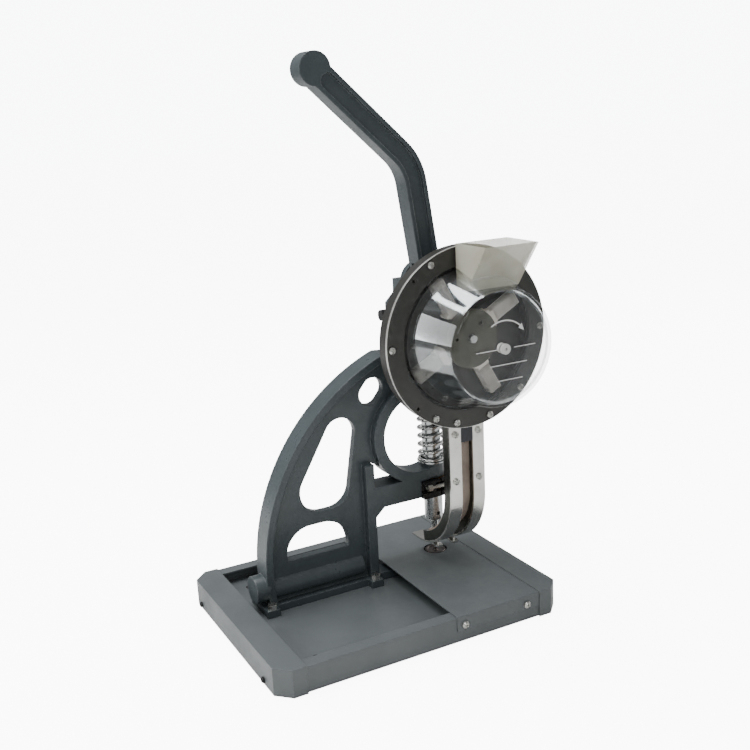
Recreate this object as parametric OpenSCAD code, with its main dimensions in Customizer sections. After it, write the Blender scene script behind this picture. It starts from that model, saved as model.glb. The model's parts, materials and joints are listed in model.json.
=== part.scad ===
// Hand-lever eyelet press with a brush-fed drum.
// Frame: millimetres, +Z up, +X from the tray toward the die, +Y away from the drum.
// Origin: centre of the base, at the level its rubber feet stand on.

/* [Base] */
// Length of the base, along X
base_l = 360; // [340:1:440]
// Width of the base, along Y
base_w = 272; // [250:1:330]
// Height of the base's top face over the bench
base_h = 33; // [32:1:40]
// Cut across each corner of the end caps
corner_cut = 16; // [8:1:24]
// Length of each end cap
end_cap_l = 32.5; // [26:0.5:40]
// Sheet of the end caps and the cover plate
sheet_t = 1.2; // [1:0.1:1.6]
// Sheet of the side rails
rail_t = 2; // [1.5:0.5:3]
// Width of the rim beside the open tray
rim_w = 16.5; // [12:0.5:22]
// Length of the cover plate, measured from the front end cap
cover_l = 111.2; // [100:0.1:120]
// Depth of the cover plate's side flanges
cover_flange = 17; // [12:1:22]
// Height of the tray floor's top over the bench
floor_z = 16; // [14:0.5:19]
// Thickness of the tray floor
floor_t = 2.5; // [2:0.5:4]
// Diameter of each rubber foot
foot_d = 22; // [16:1:30]
// Distance of each foot's centre from the ends of the base
foot_in_x = 60; // [40:1:80]
// Distance of each foot's centre from the sides of the base
foot_in_y = 38; // [30:1:60]
// Diameter of the bench bolt's hole through each foot
bench_bolt_d = 5.5; // [4.5:0.1:6.5]

/* [Frame casting] */
// Y of the plane that the frame, the lever and the ram share
mid_y = 33; // [25:1:40]
// X of the ram and the die
ram_x = 110; // [106:1:112]
// Radius of the outer back arch
arch_r = 258.5; // [250:0.5:262]
// Depth of the arch's flange, along its radius
arch_flange = 9; // [6:0.5:14]
// Width of the flanges, along Y
flange_w = 30; // [26:1:34]
// Thickness of the web between the flanges
web_t = 10; // [6:0.5:14]
// Radius of the open throat
throat_r = 49.5; // [46:0.1:51]
// Width of the column, along X
column_w = 11.5; // [9:0.5:16]
// X of the column's front face
column_x = 20.5; // [17:0.5:24]
// Height of the lower arm's underside
arm_z = 113; // [110:1:118]
// Depth of the lower arm
arm_h = 27; // [22:1:30]
// Radius of the rounded bar cast along the foot
hump_r = 13; // [10:0.5:14]
// Thickness of the foot's flange
foot_flange = 9; // [7:0.5:12]
// Thickness of each cheek of the head
cheek_t = 9; // [7:0.5:11]
// Height of the cheeks' bottom edge
head_z = 244; // [243:1:250]
// Height of the upper guide
upper_guide_l = 62; // [50:1:66]

/* [Ram and die] */
// Diameter of the ram
ram_d = 23; // [20:0.5:24]
// Gap between the cover plate and the ram's lower end, at rest
ram_gap = 42; // [41:1:46]
// Radial clearance of the ram in its bushes
run_fit = 0.05; // [0.02:0.01:0.1]
// Wall of the ram's bronze bushes
bush_t = 4; // [3:0.5:5]
// Height of the lower guide block's underside
guide_z = 112; // [108:1:114]
// Width of the lower guide block, along Y
guide_w = 42; // [38:1:50]
// Height of the lower guide block
guide_h = 21.5; // [20:0.5:22]
// Height of the boss on the throat's end, which carries the return spring
spring_boss_z = 153.5; // [150:0.5:156]
// Diameter of the punch's working end
punch_d = 10; // [8:0.5:11]
// Length of the punch below the ram
punch_l = 14; // [12:0.5:15]
// Diameter of the lower die
die_d = 26; // [22:0.5:27]
// Gap around the die in the cover plate
die_gap = 2; // [1:0.5:3]
// Gap between the cover plate and the front end cap
cover_gap = 1; // [0.3:0.1:2]
// Gap between the ram and the return spring
spring_gap = 2; // [1:0.5:3]
// Wire of the return spring
spring_wire = 4; // [3:0.5:4.5]
// Turns of the return spring
spring_turns = 8; // [6:1:9]

/* [Lever] */
// X of the lever's pivot
pivot_x = 113; // [111:0.5:115]
// Height of the lever's pivot
pivot_z = 378; // [376:0.5:380]
// Width of the lever's arm
lever_w = 27.5; // [22:0.5:32]
// Thickness of the lever, along Y
lever_t = 25; // [22:0.5:26]
// Radius of the lever's round end
bulb_r = 18.5; // [15:0.5:24]
// Depth of the panels in the lever's faces
panel_depth = 4; // [1:0.5:6]
// Angle that the lever swings through
lever_swing = 73; // [60:1:75]
// Gap left between the punch and the die's point, at the end of the swing
punch_play = 0.1; // [0.05:0.05:1]
// Radius of the hub
hub_r = 20; // [19:0.5:20]
// Diameter of the pivot shaft
shaft_d = 14; // [12:0.5:16]
// Thickness of the cam
cam_t = 12; // [8:0.5:13]
// Radius of the cam roller
roller_r = 9; // [8:0.5:10]
// Drop from the pivot to the roller, at rest
roller_drop = 27; // [26.5:0.5:28]
// Play between the moving parts of the head
side_play = 0.3; // [0.2:0.05:0.5]

/* [Drum] */
// X of the drum's axis
drum_x = 112; // [110:0.5:113]
// Height of the drum's axis
drum_z = 325; // [322:1:328]
// Radius of the front ring
ring_r = 106; // [104:1:112]
// Y of the front ring's face
ring_y = -55; // [-60:1:-52]
// Thickness of the front ring
ring_t = 3; // [2:0.5:4]
// Radius of the clear dome at the ring
dome_r = 84; // [82:0.5:86]
// Radius of the clear dome at its front
dome_front_r = 66.5; // [60:0.5:72]
// Depth of the clear dome in front of the ring
dome_depth = 70; // [64:1:78]
// Wall of the clear dome
dome_t = 2.5; // [1.5:0.5:3]
// Depth of the drum's body behind the ring
drum_depth = 15.5; // [13:0.5:18]
// Thickness of the drum's floor
drum_floor = 3; // [2:0.5:4]
// Wall of the hopper
hopper_t = 2; // [1.5:0.5:3]
// Width of the hopper, along X
hopper_w = 69; // [60:1:76]
// Height of the hopper's rim
hopper_top = 434; // [428:1:450]

/* [Brushes] */
// Number of brushes
brush_n = 4; // [3:1:6]
// Reach of the bristles from the axis
brush_r = 78; // [70:0.5:80]
// Width of a brush
brush_w = 16; // [10:0.5:18]
// Radius of the brush hub
brush_hub_r = 33; // [28:1:36]
// Diameter of the brush shaft
brush_shaft_d = 10; // [8:0.5:12]
// Throw of the two cranks that turn the brushes
crank_r = 20; // [18:0.5:22]
// Angle of the two cranks over the horizontal, at rest
crank_a = 33; // [25:1:40]

/* [Chute] */
// Width of each steel strip
strip_w = 16; // [13:0.5:18]
// Gap between the strips
slot_w = 16; // [14:0.5:18]
// Thickness of the strips
strip_t = 2.5; // [1.5:0.5:3]
// Depth of the side bars
bar_depth = 12.5; // [8:0.5:14]
// Width of each side bar
bar_w = 12; // [8:0.5:12]
// Outer radius of the curve
chute_r = 80; // [76:0.5:82]
// Thickness of the back plate
chute_back_t = 2.5; // [1.5:0.5:3]
// Angle that each jaw opens through
jaw_swing = 16; // [14:1:20]

/* [Hidden] */
$fn = 64;
eps = 0.01;

// Base levels and edges
cap_lift = 1;
rail_lift = 2;
half_l = base_l / 2;
half_w = base_w / 2;
cover_x1 = half_l - end_cap_l - cover_gap;
cover_x0 = cover_x1 - cover_l;
rail_top = base_h - sheet_t;
rail_y = half_w - sheet_t;
rail_end = half_l - corner_cut - 1;
foot_at = [half_l - foot_in_x, half_w - foot_in_y];
foot_stem_d = 10;
cover_screw_x = [cover_x0 + 10, cover_x1 - 17];
cover_screw_z = 22;
cap_screw_y = [43 - half_w, half_w - 30];
cap_screw_z = 6;

// Screws and bolts
screw_d = 4;
bolt_d = 6;
bolt_flats = 10;
bolt_head_d = 10;

// Frame casting
ram_r = ram_d / 2;
bush_r = ram_r + bush_t;
arch_at = [132.3, 61];
throat_at = [86, 197];
throat_rim = 13.5;
throat_end = 295;
flange_y = [mid_y - flange_w / 2, mid_y + flange_w / 2];
web_y = [mid_y - web_t / 2, mid_y + web_t / 2];
arch_x = arch_at[0] - arch_r;
arm_end = ram_x - 25;
cheek_gap = lever_t + 2;
cheek_in = [mid_y - cheek_gap / 2, mid_y + cheek_gap / 2];
cheek_out = [cheek_in[0] - cheek_t, cheek_in[1] + cheek_t];
head_x = 66;
head_w = 28;
arch_top = 302.5;
web_top = 356;
heel_z = pivot_z - 8;
lock_z = 346;
lock_d = 8;
stop_flats = 13;
stop_head = stop_flats * 0.62;
stop_d = 8;
stop_x = head_x + 11;
stop_z = heel_z - 0.2 - stop_head;
stop_l = 22;
anvil_d = 52;
anvil_top = base_h - 5;
foot_bolt_x = [arch_x + 2, column_x - 8];
foot_bolt_y = flange_w / 2 + bolt_flats / 2 + 0.5;
guide_boss_r = bush_r + 8;

// Windows of the web: where the round corners are, and their radii
top_window = [[24, 255], [29, 261]];
top_window_r = 13.4;
tall_window = [[-46, 150], [-35, 150]];
tall_window_r = 27;
tall_window_tip = [-17, 213];
tall_window_tip_r = 20;
low_window_x = [-63, -46];
low_window_z = 77;
low_window_r = 32;
low_window_sill = 71;

// Ram
guide_top = guide_z + guide_h;
guide_bolt_z = [arm_z + 5, guide_top - 5];
spring_d = ram_d + 2 * (spring_gap + spring_wire);
ram_low_z = base_h + ram_gap;
die_point = 2.4;
ram_travel = ram_gap - punch_l - die_point - punch_play;
clamp_at = [mid_y - bush_r - 3.1, guide_z + 13];
roller_z = pivot_z - roller_drop;
ram_top = roller_z + 5.5;
fork_gap = cam_t + 2 * side_play;
seat_t = 1.5;
cam_gap = 0.2;
collar_top = 236;
collar_t = 7;
spring_z = [spring_boss_z + seat_t, collar_top - collar_t];

// Drum
body_y = ring_y + ring_t;
back_y = body_y + drum_depth;
floor_y = back_y - drum_floor;
hopper_x = drum_x - 16.3;
hopper_back = ring_y - 3.6;
hopper_front = [hopper_back - 58.6, hopper_back - 20.6];
hopper_low = hopper_top - 51;
bracket_x = head_x + 3;
bracket_z = [285, 343];
bracket_w = 34;
plate_t = 6;
bracket_bolt_x = [bracket_x + 8, bracket_x + 26];
bracket_bolt_z = [300.5, 325];
drum_bolt_at = [[head_x + 12, 303], [head_x + 12, 328], [drum_x + 18, 297], [drum_x - 14, 297]];
ring_screw_a = [0, 60, 118, 180, -118, -101, -74.5, -45];
ring_screw_r = ring_r - 6.5;
ring_hole_a = [133.5, -134];
knob_r = 5.8;
knob_l = 3.5;
brush_y = [ring_y - 0.4, floor_y - 1];

// Chute
chute_z = 133;
chute_y = 31;
chute_top = 233;
chute_face = chute_y - chute_r;
bar_y = [chute_face + strip_t, chute_face + strip_t + bar_depth];
strip_x = slot_w / 2;
tip_y = 48;
jaw_t = 3;
jaw_top = chute_z - chute_r - side_play;
jaw_pin = [11.5, 6];
jaw_hook = 6;
jaw_pin_r = 1.5;
bar_turn = 80;
back_turn = 70;
back_top = drum_z - ring_r - 2;
chute_screw_z = [153, 211];
gate_low = 200;

// ---- Shapes that repeat ----

// Extrudes an X-Z outline from y0 to y1
module xz(y0, y1) {
    translate([0, y1, 0]) rotate([90, 0, 0]) linear_extrude(y1 - y0) children();
}

// A box from its two corners
module block(a, b) {
    translate(a) cube(b - a);
}

// A round bar along Y, from y0 to y1
module bar_y(r, x, z, y0, y1) {
    translate([x, y0, z]) rotate([-90, 0, 0]) cylinder(r = r, h = y1 - y0);
}

// A round bar along X, from x0 to x1
module bar_x(r, y, z, x0, x1) {
    translate([x0, y, z]) rotate([0, 90, 0]) cylinder(r = r, h = x1 - x0);
}

// A round bar along Z, from z0 to z1
module bar_z(r, x, y, z0, z1) {
    translate([x, y, z0]) cylinder(r = r, h = z1 - z0);
}

// A ring sector from a0 to a1, with a corner every 2.5 degrees so that nested sectors fit
module sector(centre, r0, r1, a0, a1) {
    angles = [each [a0:2.5:a1 - eps], a1];
    last = len(angles) - 1;
    polygon([
        for (a = angles) centre + polar(r1, a),
        for (i = [last:-1:0]) centre + polar(r0, angles[i]),
    ]);
}

// A pan-head screw whose head sits on z = 0, with its shank below
module pan_screw(head_d, shank_d, l) {
    head_h = head_d * 0.4;
    difference() {
        union() {
            cylinder(d = head_d, h = head_h * 0.55);
            translate([0, 0, head_h * 0.55]) cylinder(d1 = head_d, d2 = head_d * 0.6, h = head_h * 0.45);
        }
        for (a = [0, 90]) rotate(a) translate([-head_d * 0.3, -head_d * 0.06, head_h * 0.5])
            cube([head_d * 0.6, head_d * 0.12, head_h]);
    }
    translate([0, 0, -l]) cylinder(d = shank_d, h = l);
}

// A hexagon-head bolt whose head sits on z = 0
module hex_bolt(flats, shank_d, l) {
    cylinder(d = flats / cos(30), h = flats * 0.62, $fn = 6);
    translate([0, 0, -l]) cylinder(d = shank_d, h = l);
}

// A socket-head bolt whose head sits on z = 0
module socket_bolt(head_d, shank_d, l) {
    difference() {
        cylinder(d = head_d, h = head_d * 0.6);
        translate([0, 0, head_d * 0.3]) cylinder(d = head_d * 0.58, h = head_d, $fn = 6);
    }
    translate([0, 0, -l]) cylinder(d = shank_d, h = l);
}

// Points its child's +Z toward -Y, at a place
module facing_front(p) {
    translate(p) rotate([90, 0, 0]) children();
}

function polar(r, a) = [r * cos(a), r * sin(a)];
function unit(v) = v / norm(v);
function turn(v, a) = [v[0] * cos(a) - v[1] * sin(a), v[0] * sin(a) + v[1] * cos(a)];

// The arc of radius r that rounds the corner b between a and c
function corner(a, b, c, r) =
    let (u = unit(a - b), v = unit(c - b), half = acos(u * v) / 2)
    let (centre = b + unit(u + v) * r / sin(half))
    let (p = b + u * r / tan(half) - centre, q = b + v * r / tan(half) - centre)
    let (a0 = atan2(p[1], p[0]), a1 = atan2(q[1], q[0]))
    let (sweep = (a1 - a0 + 540) % 360 - 180)
    [for (i = [0:10]) centre + polar(r, a0 + sweep * i / 10)];

// A line through some points with its inner corners rounded
function route(p, radii) = [
    p[0],
    for (i = [1:len(p) - 2]) each corner(p[i - 1], p[i], p[i + 1], radii[i - 1]),
    p[len(p) - 1],
];

// The outline of a band of width w along a line
function side(p, i) =
    let (d = unit(p[min(i + 1, len(p) - 1)] - p[max(i - 1, 0)]))
    [-d[1], d[0]];
function band(p, w) = [
    for (i = [0:len(p) - 1]) p[i] - side(p, i) * w / 2,
    for (i = [len(p) - 1:-1:0]) p[i] + side(p, i) * w / 2,
];

// ---- Base ----

module floor_pan() {
    color("#3d4447") difference() {
        union() {
            block([-rail_end, -rail_y + rail_t, floor_z - floor_t], [rail_end, rail_y - rail_t, floor_z]);
            for (s = [-1, 1]) mirror([0, s < 0 ? 1 : 0, 0])
                block([-rail_end, rail_y - rail_t - floor_t, floor_z - floor_t],
                      [rail_end, rail_y - rail_t, rail_top - rail_t]);
        }
        foot_bolt_holes();
        foot_places() cylinder(d = foot_stem_d, h = base_h);
        cover_screw_places() cylinder(d = screw_d, h = 20, center = true);
    }
}

module rail() {
    difference() {
        union() {
            block([-rail_end, rail_y - rail_t, rail_lift], [rail_end, rail_y, rail_top]);
            block([-rail_end, half_w - rim_w, rail_top - rail_t], [rail_end, rail_y, rail_top]);
            block([-rail_end, half_w - rim_w, rail_lift], [rail_end, rail_y, rail_lift + rail_t]);
        }
        cover_screw_places() cylinder(d = screw_d, h = 20, center = true);
    }
}
module left_rail() { color("#4d5356") mirror([0, 1, 0]) rail(); }
module right_rail() { color("#4d5356") rail(); }

// An end cap: a folded box with cut corners, open below and toward the tray
module cap_plan(inset) {
    cut = corner_cut - inset * 0.6;
    polygon([
        [half_l - end_cap_l, -half_w + inset], [half_l - cut - inset, -half_w + inset],
        [half_l - inset, -half_w + cut + inset], [half_l - inset, half_w - cut - inset],
        [half_l - cut - inset, half_w - inset], [half_l - end_cap_l, half_w - inset],
    ]);
}
module cap(lip) {
    difference() {
        union() {
            difference() {
                translate([0, 0, cap_lift]) linear_extrude(base_h - cap_lift) cap_plan(0);
                translate([-eps, 0, 0]) linear_extrude(rail_top) cap_plan(sheet_t);
            }
            if (lip) block([half_l - end_cap_l, -half_w + rim_w, floor_z + 0.2],
                           [half_l - end_cap_l + sheet_t, half_w - rim_w, rail_top + eps]);
        }
        for (y = cap_screw_y) translate([half_l, y, cap_screw_z]) rotate([0, 90, 0])
            cylinder(d = screw_d, h = 20, center = true);
    }
}
module rear_cap() { color("#4d5356") mirror([1, 0, 0]) cap(true); }
module front_cap() { color("#4d5356") cap(false); }

module cover_plate() {
    color("#5f6265") difference() {
        union() {
            block([cover_x0, -half_w, rail_top], [cover_x1, half_w, base_h]);
            for (s = [-1, 1]) mirror([0, s < 0 ? 1 : 0, 0])
                block([cover_x0, rail_y, base_h - cover_flange], [cover_x1, half_w, base_h]);
        }
        bar_z(die_d / 2 + die_gap, ram_x, mid_y, 0, base_h + 1);
        cover_screw_places() cylinder(d = screw_d, h = 20, center = true);
    }
}

// The four places where the cover is screwed to the rails, on its side flanges
module cover_screw_places() {
    for (x = cover_screw_x, s = [-1, 1])
        translate([x, s * half_w, cover_screw_z]) rotate([-90 * s, 0, 0]) children();
}
module cover_screws() {
    color("#c9c9c4") cover_screw_places() pan_screw(8.5, screw_d, 8);
}
module cap_screws() {
    color("#c9c9c4") for (s = [-1, 1], y = cap_screw_y)
        translate([s * half_l, y, cap_screw_z]) rotate([0, 90 * s, 0]) pan_screw(7, screw_d, 8);
}
// The places of the four feet, which a bench bolt can pass through
module foot_places() {
    for (sx = [-1, 1], sy = [-1, 1]) translate([sx * foot_at[0], sy * foot_at[1], 0]) children();
}
module rubber_feet() {
    color("#222222") foot_places() difference() {
        union() {
            cylinder(d1 = foot_d, d2 = foot_d + 4, h = floor_z - floor_t);
            cylinder(d = foot_stem_d, h = floor_z);
        }
        translate([0, 0, -1]) cylinder(d = bench_bolt_d, h = floor_z + 2);
    }
}

// ---- Frame casting ----

// Outline of the whole arch and head, filled
module frame_outline() {
    intersection() {
        translate(arch_at) circle(r = arch_r, $fn = 128);
        polygon([
            [arch_x, floor_z], [column_x, floor_z], [column_x, arm_z - 12], [column_x + 12, arm_z],
            [arm_end, arm_z], [arm_end, arm_z + arm_h], [throat_at[0], throat_at[1]],
            [throat_at[0], head_z], [head_x, head_z + 60], [head_x, arch_top - 2],
            [36, arch_top], [arch_x, arch_top],
        ]);
    }
}
module throat() { translate(throat_at) circle(r = throat_r, $fn = 128); }

// The window holes of the web
module windows() {
    hull() for (p = top_window) translate(p) circle(r = top_window_r);
    hull() {
        for (p = tall_window) translate(p) circle(r = tall_window_r);
        translate(tall_window_tip) circle(r = tall_window_tip_r);
    }
    intersection() {
        hull() for (x = low_window_x) translate([x, low_window_z]) circle(r = low_window_r);
        translate([-120, low_window_sill]) square([140, 60]);
    }
}

// The triangular gap between the column, the throat's flange and the arm
module arm_gap() {
    difference() {
        polygon([[column_x, arm_z + arm_h], [column_x, throat_at[1] - 27], [throat_at[0] - 16, arm_z + arm_h]]);
        translate(throat_at) circle(r = throat_r + throat_rim - 2, $fn = 128);
    }
}

// One cheek of the head, as an outline
module cheek_plan() {
    difference() {
        union() {
            translate([pivot_x, pivot_z]) circle(r = 25);
            polygon([
                [head_x, 292], [head_x + 14, head_z], [ram_x + head_w, head_z], [ram_x + head_w, 330],
                [pivot_x + 25, pivot_z], [pivot_x - 25, pivot_z], [head_x, web_top],
            ]);
        }
        throat();
    }
}

module frame_casting() {
    color("#4d5356") difference() {
        union() {
            // web with its windows
            xz(web_y[0], web_y[1]) difference() {
                frame_outline();
                windows();
                arm_gap();
                throat();
            }
            // outer flange of the arch
            xz(flange_y[0], flange_y[1]) intersection() {
                frame_outline();
                difference() {
                    translate(arch_at) circle(r = arch_r, $fn = 128);
                    translate(arch_at) circle(r = arch_r - arch_flange, $fn = 128);
                }
            }
            xz(flange_y[0], flange_y[1])
                polygon([[34, arch_top - arch_flange], [head_x + 2, arch_top - 2 - arch_flange],
                         [head_x + 2, arch_top - 2], [42, arch_top - 0.5]]);
            // column, throat ring and lower arm
            xz(flange_y[0], flange_y[1]) difference() {
                union() {
                    translate([column_x - column_w, floor_z]) square([column_w, throat_at[1] - 27 - floor_z]);
                    sector(throat_at, throat_r - 2, throat_r + throat_rim, 90, throat_end);
                    polygon([[column_x - 1, arm_z - 12], [column_x + 12, arm_z], [arm_end, arm_z],
                             [arm_end, arm_z + arm_h], [column_x - 1, arm_z + arm_h]]);
                }
                throat();
            }
            // boss on the throat's end, under the return spring
            bar_z(flange_w / 2, ram_x, mid_y, guide_top + 1, spring_boss_z);
            // foot: flange, bolt pads, rounded bar and its end boss
            block([arch_x, flange_y[0], floor_z], [column_x, flange_y[1], floor_z + foot_flange]);
            for (x = foot_bolt_x) block([x - 8, mid_y - foot_bolt_y - 5, floor_z],
                                        [x + 8, mid_y + foot_bolt_y + 5, floor_z + foot_flange]);
            bar_x(hump_r, mid_y, floor_z + 25, arch_x + 2, column_x - 18);
            bar_x(hump_r + 3.5, mid_y, floor_z + 28, arch_x - 13, arch_x + 4);
            // anvil arm and boss below the cover plate
            block([column_x - 1, mid_y - 11, floor_z], [ram_x, mid_y + 11, anvil_top - 2]);
            bar_z(anvil_d / 2, ram_x, mid_y, floor_z, anvil_top);
            // head: two cheeks, the upper guide between them and the cross web
            for (c = [[cheek_out[0], cheek_in[0]], [cheek_in[1], cheek_out[1]]]) xz(c[0], c[1]) cheek_plan();
            difference() {
                intersection() {
                    bar_z(guide_boss_r, ram_x, mid_y, head_z, head_z + upper_guide_l);
                    block([0, cheek_out[0], 0], [ram_x + guide_boss_r, cheek_out[1], pivot_z]);
                }
                translate([0, mid_y, 0]) rotate([90, 0, 0]) linear_extrude(80, center = true) throat();
            }
            xz(cheek_in[0] - eps, cheek_in[1] + eps) difference() {
                polygon([[head_x, 300], [head_x + 14, head_z], [ram_x, head_z],
                         [ram_x, head_z + upper_guide_l], [head_x + 22, head_z + upper_guide_l],
                         [head_x + 22, web_top], [head_x, web_top]]);
                throat();
            }
        }
        bar_z(bush_r, ram_x, mid_y, head_z - 10, head_z + upper_guide_l + 10);
        bar_z(ram_r + 0.5, ram_x, mid_y, guide_top - 5, spring_boss_z + 1);
        bar_z(die_d / 2 - 4, ram_x, mid_y, 0, base_h);
        bar_y(shaft_d / 2 + 3, pivot_x, pivot_z, 0, 80);
        foot_bolt_holes();
        bar_y(2.5, ram_x, floor_z + 6, 0, mid_y);
        bar_z(stop_d / 2, stop_x, mid_y, stop_z - stop_l - 1, stop_z);
        bar_x(lock_d / 2, mid_y, lock_z, head_x - 1, head_x + 6);
        for (z = guide_bolt_z) bar_x(bolt_d / 2, mid_y, z, arm_end - 18, arm_end + 1);
        bracket_bolt_places() translate([0, 0, -12]) cylinder(d = bolt_d, h = 14);
    }
}

module foot_bolt_holes() {
    for (x = foot_bolt_x, s = [-1, 1]) bar_z(bolt_d / 2, x, mid_y + s * foot_bolt_y, 5, 40);
}
module foot_bolts() {
    color("#8d8f8e") for (x = foot_bolt_x, s = [-1, 1]) translate([x, mid_y + s * foot_bolt_y, 0]) {
        translate([0, 0, floor_z + foot_flange]) hex_bolt(bolt_flats, bolt_d, floor_z + foot_flange - 6);
        translate([0, 0, floor_z - floor_t - 5]) cylinder(d = 11, h = 5, $fn = 6);
    }
}

// The block that guides the ram's lower end, clamped round its bush
module lower_guide() {
    pocket = 6;
    color("#2a2c2d") difference() {
        union() {
            block([arm_end, mid_y - guide_w / 2, guide_z],
                  [ram_x + guide_w / 2 + 4, mid_y + guide_w / 2, guide_z + guide_h]);
            bar_z(bush_r + 3, ram_x, mid_y, guide_z - 1, guide_top);
        }
        bar_z(bush_r, ram_x, mid_y, guide_z - 2, guide_top + 1);
        block([ram_x - 1, mid_y - guide_w, guide_z - 2], [ram_x + 1, mid_y, guide_top + 1]);
        for (z = guide_bolt_z) bar_x(bolt_d / 2, mid_y, z, arm_end - 1, ram_x - bush_r + 2);
        bar_x(bolt_d / 2, clamp_at[0], clamp_at[1], ram_x - 20, ram_x + 21);
        block([ram_x - 30, clamp_at[0] - pocket, clamp_at[1] - pocket],
              [ram_x - 13, mid_y - bush_r + 2, clamp_at[1] + pocket]);
        block([ram_x - 8, 0, clamp_at[1] - pocket], [ram_x + 8, mid_y - bush_r - 0.5, clamp_at[1] + pocket]);
    }
}
module guide_bolts() {
    color("#3a3c3d") for (z = guide_bolt_z)
        bar_x(bolt_d / 2, mid_y, z, arm_end - 18, ram_x - bush_r - 0.2);
}
module clamp_bolt() {
    color("#c9c9c4") translate([ram_x - 13, clamp_at[0], clamp_at[1]]) rotate([0, -90, 0])
        socket_bolt(bolt_head_d, bolt_d, 32);
}
module bush(z0, z1) {
    difference() {
        bar_z(bush_r, ram_x, mid_y, z0, z1);
        bar_z(ram_r + run_fit, ram_x, mid_y, z0 - 1, z1 + 1);
    }
}
module lower_bush() { color("#a9834a") bush(guide_z - 1, guide_top); }
module upper_bush() { color("#a9834a") bush(head_z, head_z + upper_guide_l); }
module pivot_bushes() {
    color("#a9834a") for (c = [[cheek_out[0], cheek_in[0]], [cheek_in[1], cheek_out[1]]]) difference() {
        bar_y(shaft_d / 2 + 3, pivot_x, pivot_z, c[0], c[1]);
        bar_y(shaft_d / 2 + run_fit, pivot_x, pivot_z, c[0] - 1, c[1] + 1);
    }
}
module stop_screw() {
    color("#8d8f8e") {
        translate([stop_x, mid_y, stop_z]) hex_bolt(stop_flats, stop_d, stop_l);
        translate([stop_x, mid_y, web_top]) cylinder(d = stop_flats + 2, h = 5, $fn = 6);
    }
}
module lock_bolt() {
    color("#1c1d1e") translate([head_x, mid_y, lock_z]) rotate([0, -90, 0]) {
        translate([0, 0, 10]) cylinder(d = 13, h = 9);
        cylinder(d = 10, h = 10);
        translate([0, 0, -6]) cylinder(d = lock_d, h = 7);
    }
}

// ---- Die, ram and spring ----

module lower_die() {
    color("#8f8d88") translate([ram_x, mid_y, 0]) rotate_extrude($fn = 64) polygon([
        [0, floor_z + 1], [die_d / 2 - 4, floor_z + 1], [die_d / 2 - 4, anvil_top], [die_d / 2, anvil_top],
        [die_d / 2, base_h - 0.6], [die_d / 2 - 0.6, base_h], [die_d / 2 - 3, base_h],
        [die_d / 2 - 3.6, base_h - 1], [4.5, base_h - 1.6], [2.2, base_h - 0.4],
        [2, base_h + die_point - 0.6], [1.2, base_h + die_point], [0, base_h + die_point],
    ]);
}
module die_screw() {
    color("#3a3c3d") translate([ram_x, mid_y - die_d / 2 + 4, floor_z + 6]) rotate([90, 0, 0])
        cylinder(d = 5, h = anvil_d / 2 - die_d / 2 + 3.5);
}

module ram() {
    color("#c4c6c6") difference() {
        union() {
            bar_z(ram_r, ram_x, mid_y, ram_low_z + 2, ram_top - 1);
            translate([ram_x, mid_y, ram_low_z]) cylinder(r1 = ram_r - 2, r2 = ram_r, h = 2);
            translate([ram_x, mid_y, ram_top - 1]) cylinder(r1 = ram_r, r2 = ram_r - 1, h = 1);
        }
        bar_z(punch_d / 2 - 1, ram_x, mid_y, ram_low_z - 1, ram_low_z + 22);
        translate([ram_x, mid_y, ram_low_z + 10]) rotate([90, 0, 0]) cylinder(d = 5, h = ram_d);
        block([ram_x - ram_d, mid_y - fork_gap / 2, roller_z - roller_r - 1],
              [ram_x + ram_d, mid_y + fork_gap / 2, ram_top + 1]);
        bar_y(3, ram_x, roller_z, mid_y - ram_d, mid_y + ram_d);
    }
}
module spring_collar() {
    color("#9a9c9b") difference() {
        bar_z(spring_d / 2, ram_x, mid_y, collar_top - collar_t, collar_top);
        bar_z(ram_r, ram_x, mid_y, collar_top - collar_t - 1, collar_top + 1);
    }
}
module punch() {
    color("#b5b7b6") difference() {
        union() {
            bar_z(punch_d / 2 - 1, ram_x, mid_y, ram_low_z, ram_low_z + 22);
            bar_z(punch_d / 2, ram_x, mid_y, ram_low_z - punch_l, ram_low_z);
        }
        bar_z(2.6, ram_x, mid_y, ram_low_z - punch_l - 1, ram_low_z - punch_l + 3);
    }
}
module punch_screw() {
    color("#3a3c3d") translate([ram_x, mid_y - punch_d / 2 + 1, ram_low_z + 10]) rotate([90, 0, 0])
        cylinder(d = 5, h = ram_r - punch_d / 2);
}
module roller_pin() {
    color("#8d8f8e") bar_y(3, ram_x, roller_z, mid_y - ram_r + 0.6, mid_y + ram_r - 0.6);
}
module cam_roller() {
    color("#c4c6c6") difference() {
        bar_y(roller_r, ram_x, roller_z, mid_y - cam_t / 2, mid_y + cam_t / 2);
        bar_y(3 + run_fit, ram_x, roller_z, mid_y - cam_t, mid_y + cam_t);
    }
}

// The return spring: a wire swept along a coil whose end turns lie flat
module return_spring() {
    sides = 8;
    per_turn = 20;
    n = spring_turns * per_turn;
    wire_r = spring_wire / 2;
    r = spring_d / 2 - wire_r;
    z0 = spring_z[0] + wire_r;
    z1 = spring_z[1] - wire_r;
    function rise(t) = let (u = min(max((t * spring_turns - 0.75) / (spring_turns - 1.5), 0), 1)) u;
    points = [for (i = [0:n], k = [0:sides - 1])
        let (t = i / n, a = 360 * spring_turns * t, b = 360 * k / sides)
        [(r + wire_r * cos(b)) * cos(a), (r + wire_r * cos(b)) * sin(a),
         z0 + (z1 - z0) * rise(t) + wire_r * sin(b)]];
    faces = concat(
        [[for (k = [0:sides - 1]) k]],
        [for (i = [0:n - 1], k = [0:sides - 1]) let (m = (k + 1) % sides)
            [i * sides + k, (i + 1) * sides + k, (i + 1) * sides + m, i * sides + m]],
        [[for (k = [sides - 1:-1:0]) n * sides + k]]);
    color("#c4c6c6") translate([ram_x, mid_y, 0]) polyhedron(points, faces);
}
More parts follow.
